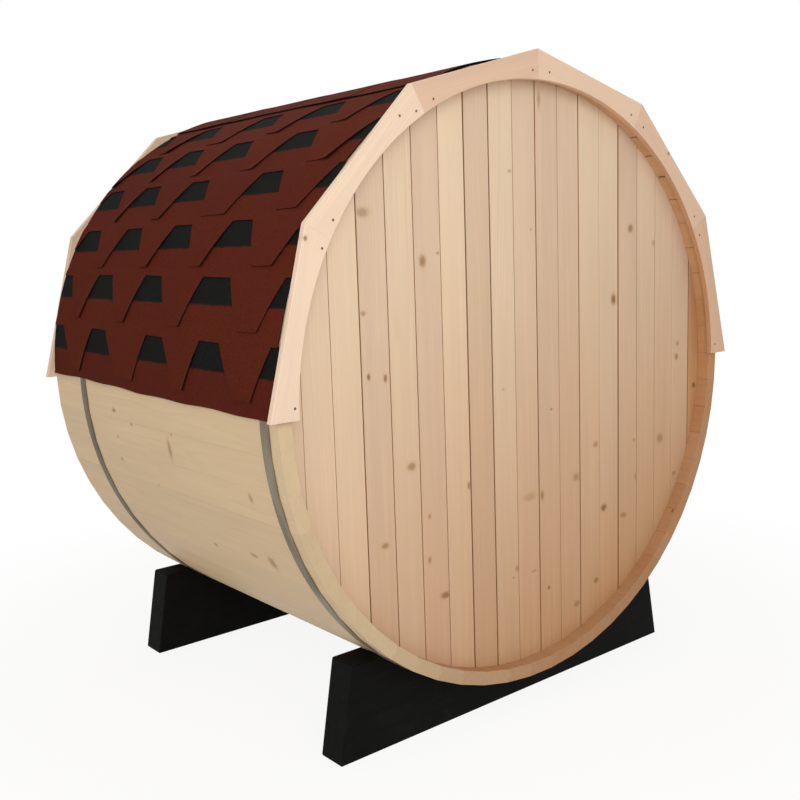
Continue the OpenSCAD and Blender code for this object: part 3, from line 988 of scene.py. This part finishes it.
# Ridge cap: wide strips of the same shingle bent over the top, each lapped over the one before.
# Its long edges lie over the highest courses and wave a little.
round_over = math.pi * roof_r
cap_count, cap_lap = 4, 0.05
cap_pitch = 2 * sheet_end / cap_count
cap_rows, cap_steps = 44, 12
ridge = Roofing(-1)
for number in range(cap_count):
    near = sheet_end - (number + 1) * cap_pitch
    far = min(near + cap_pitch + cap_lap, sheet_end)
    spots = []
    phase = draw.uniform(0, full_turn)
    for row in range(cap_rows + 1):
        across = row / cap_rows
        from_edge = min(across, 1 - across)
        lap = 1 - within((from_edge - 0.16) / 0.08)
        for step in range(cap_steps + 1):
            share = step / cap_steps
            y = near + (far - near) * share
            sway = 0.006 * math.sin(6.1 * y + 1.1) + 0.002 * math.sin(23 * y + phase)
            girth = ridge_low + sway + (round_over - 2 * ridge_low - 2 * sway) * across
            lift = shingle_gap + shingle_t * (1.2 + lap) + 0.4 * shingle_t * (1 - share) ** 2
            flare = 0.0012 * (1 + math.sin(5 * y + phase)) * max(0.0, 1 - from_edge * 16)
            spots.append((y, girth, lift + flare, -1.0))
    ridge.lay(spots, rows_of_faces(cap_rows, cap_steps), draw.random())
ridge.piece("ridge_cap_shingles", ["ridge_cap"])


# Fascia: six pale pine boards over the upper half of each end, straight outside and sawn round inside.
# They meet in mitres over the ends of the staves, with a nail each side of every joint.
fascia_count = 6
fascia_half = math.radians(15)
fascia_in_r, fascia_mid_r, fascia_out = 0.848, 0.872, 0.9
fascia_ease = 0.0014
fascia_back, fascia_front = stave_end, 0.7062
mitre_ease, mitre_gap = 0.0001, 0.0001
# Where the loops of a board lie from mitre to mitre, as shares of its half length.
fascia_stops = (-1, -0.985, *[part / 8 - 1 for part in range(1, 16)], 0.985, 1)
# Knots at the edges of the rear boards: angle and radius, half length and half width in millimetres,
# and darkness.
fascia_knots = ((152, 0.917, 7, 6, 0.8), (47.9, 0.893, 6, 8, 0.7))
# Nails of an end, as angle and radius. A third one was driven beside the highest joint on the left.
fascia_nails = ((2, 0.87), (27.5, 0.872), (32, 0.875), (57.5, 0.875), (62, 0.875), (87, 0.872), (91.5, 0.872),
                (117, 0.867), (121.5, 0.867), (125, 0.885), (147, 0.866), (152, 0.863), (178, 0.862))
nail_head = ((-0.003, 0.0022), (-0.0004, 0.0036), (0.0, 0.0035), (0.0002, 0.0021))
# How tan the boards of the rear end are, from the right round to the left, and those of the front end.
rear_fascia_tan = (0.4, 0.2, 0.08, 0.23, 0.0, 0.0)
front_fascia_tan = (0.1,) * fascia_count
nail_steel, flow = new_finish("nail_steel")
rust = flow.place().mottle((900, 900, 900), 3)
coat(flow, rust.rise(0.35, 0.65).blend(rgb(112, 84, 64), rgb(72, 52, 42)), 0.5 + 0.2 * rust,
     rust, 0.0002, 0.15)


def fascia_tint(along, across, deep):
    """Tint of the board at hand. Its inner sawn edge is brown like the staves inside, partly stain and partly
    painted shade, less so towards the top of the round.
    """
    if math.hypot(along, across) > fascia_in_r + face_skin:
        return warm, light, tan
    height = math.sin(turn + math.atan2(along, across))
    return warm, light, 0.8 - 0.5 * within((height - 0.7) / 0.3)


fascia_loops = []
for share in fascia_stops:
    inset = mitre_ease if abs(share) == 1 else 0
    angle = share * (fascia_half - mitre_gap)
    inner = Vector((fascia_in_r * math.sin(angle), fascia_in_r * math.cos(angle)))
    outer = Vector((fascia_out * math.tan(fascia_half - mitre_gap) * share, fascia_out))
    way = (outer - inner).normalized()
    rows = [(fascia_back + inset, fascia_ease + inset), (fascia_back + fascia_ease, inset),
            (fascia_front - fascia_ease, inset), (fascia_front - inset, fascia_ease + inset)]
    loop = [(*(inner + way * off), deep) for deep, off in rows]
    loop += [(*(outer - way * off), deep) for deep, off in reversed(rows)]
    fascia_loops.append(loop)
for side, end, tans in ((-1, "rear", rear_fascia_tan), (1, "front", front_fascia_tan)):
    for number, tan in enumerate(tans):
        turn = (2 * number + 1) * fascia_half
        knots = [(at, fascia_mid_r + across, *rest)
                 for at, across, *rest in some_knots(-0.2, 0.2, 0.05, 0.35)]
        if end == "rear":
            knots = []
            for angle, radius, half_long, half_wide, dark in fascia_knots:
                off = math.radians(angle) - turn
                if abs(off) < fascia_half:
                    knots.append((radius * math.sin(off), radius * math.cos(off),
                                  half_long / 1000, half_wide / 1000, dark))
        warm, light = draw.random(), draw.uniform(0.4, 0.6)
        board = Lumber()
        board.stick(fascia_loops, lambda along, across, deep: round_barrel(turn, across, along, side * deep),
                    fascia_tint, knots)
        node = f"{end}_fascia_{number + 1}"
        board.piece(node + "_board", trim_pine, [node], "trim_pine")
    nails = Metal()
    for angle, radius in fascia_nails:
        foot = round_barrel(math.radians(angle), radius, 0, side * fascia_front)
        nails.turned(foot, (0, side, 0), nail_head)
    nails.piece(end + "_fascia_nails", nail_steel, smooth=40)


# Studio: a plain white floor that keeps the shadow under the cradles, and soft light from front and above.
# The camera stands where the photograph was taken from.
floor_half = 30
floor_corners = ((-1, -1), (1, -1), (1, 1), (-1, 1))


def straight_on(flow):
    """1 for rays from the camera, also by gloss or glass, and 0 for light that falls on the object."""
    seen = flow.node("LightPath")
    camera_or_gloss = seen.maths("MAXIMUM", seen.out("Is Camera Ray"), seen.out("Is Glossy Ray"))
    return seen.maths("MAXIMUM", camera_or_gloss, seen.out("Is Transmission Ray"))


floor_mesh = bpy.data.meshes.new("studio_floor")
floor_mesh.from_pydata([(x * floor_half, y * floor_half, 0) for x, y in floor_corners], [], [range(4)])
floor = put("studio_floor", floor_mesh)
floor_white, flow = new_finish("floor_white")
plain = flow.node("BsdfDiffuse", {"Color": (0.78, 0.76, 0.73, 1)})
bright = flow.node("Emission", {"Color": (1, 1, 1, 1), "Strength": 1.0})
x, y = flow.place().axes()[:2]
far_off = ((x * x + y * y) ** 0.5).rise(1.0, 2.6)
shadowed = flow.node("MixShader", {0: 0.9 + 0.1 * far_off, 1: plain, 2: bright})
mixed = flow.node("MixShader", {0: straight_on(flow), 1: plain, 2: shadowed})
flow.node("OutputMaterial", {"Surface": mixed})
floor_mesh.materials.append(floor_white)

world = bpy.data.worlds.new("studio_air")
bpy.context.scene.world = world
world.use_nodes = True
world.node_tree.nodes.clear()
flow = Flow(world.node_tree)
air = flow.node("Background", {"Color": (1.0, 0.95, 0.88, 1), "Strength": 0.52})
white = flow.node("Background", {"Color": (1, 1, 1, 1), "Strength": 1.0})
mixed = flow.node("MixShader", {0: straight_on(flow), 1: air, 2: white})
flow.node("OutputWorld", {"Surface": mixed})

for name, spot, aim, size, power, colour in (
        ("front_softbox", (-1.7, -3.2, 2.2), (-0.3, -0.6, 1.4), 2.0, 46, (1.0, 0.98, 0.97)),
        ("right_softbox", (1.3, -4.2, 1.6), (0.3, -0.6, 1.5), 2.4, 15, (1.0, 0.97, 0.94)),
        ("left_softbox", (-4.4, -1.2, 2.4), (-0.5, 0, 1.0), 2.6, 38, (1.0, 0.97, 0.92)),
        ("top_softbox", (0.5, 0.3, 5.4), (0, 0, 1.0), 3.6, 45, (1.0, 0.98, 0.95))):
    lamp = bpy.data.lights.new(name, "AREA")
    lamp.size, lamp.energy, lamp.color = size, power, colour
    holder = put(name, lamp)
    holder.location = spot
    holder.rotation_euler = (Vector(aim) - Vector(spot)).to_track_quat("-Z", "Y").to_euler()

lens = bpy.data.cameras.new("camera")
lens.sensor_fit = "HORIZONTAL"
lens.sensor_width = 36
lens.lens = 46.147
camera_place = Matrix.Translation((-2.1958, -2.7312, 1.4110))
azimuth, elevation, roll = math.radians(-39.312), math.radians(8.828), math.radians(-1.928)
away = Vector((math.sin(azimuth), -math.cos(azimuth), 0))
back = math.cos(elevation) * away + math.sin(elevation) * Vector((0, 0, 1))
level = Vector((math.cos(azimuth), math.sin(azimuth), 0))
upright = back.cross(level)
right = math.cos(roll) * level + math.sin(roll) * upright
up = math.cos(roll) * upright - math.sin(roll) * level
camera = put("camera", lens)
camera.matrix_world = camera_place @ Matrix((right, up, back)).transposed().to_4x4()
bpy.context.scene.camera = camera
bpy.context.scene.view_settings.view_transform = "Standard"
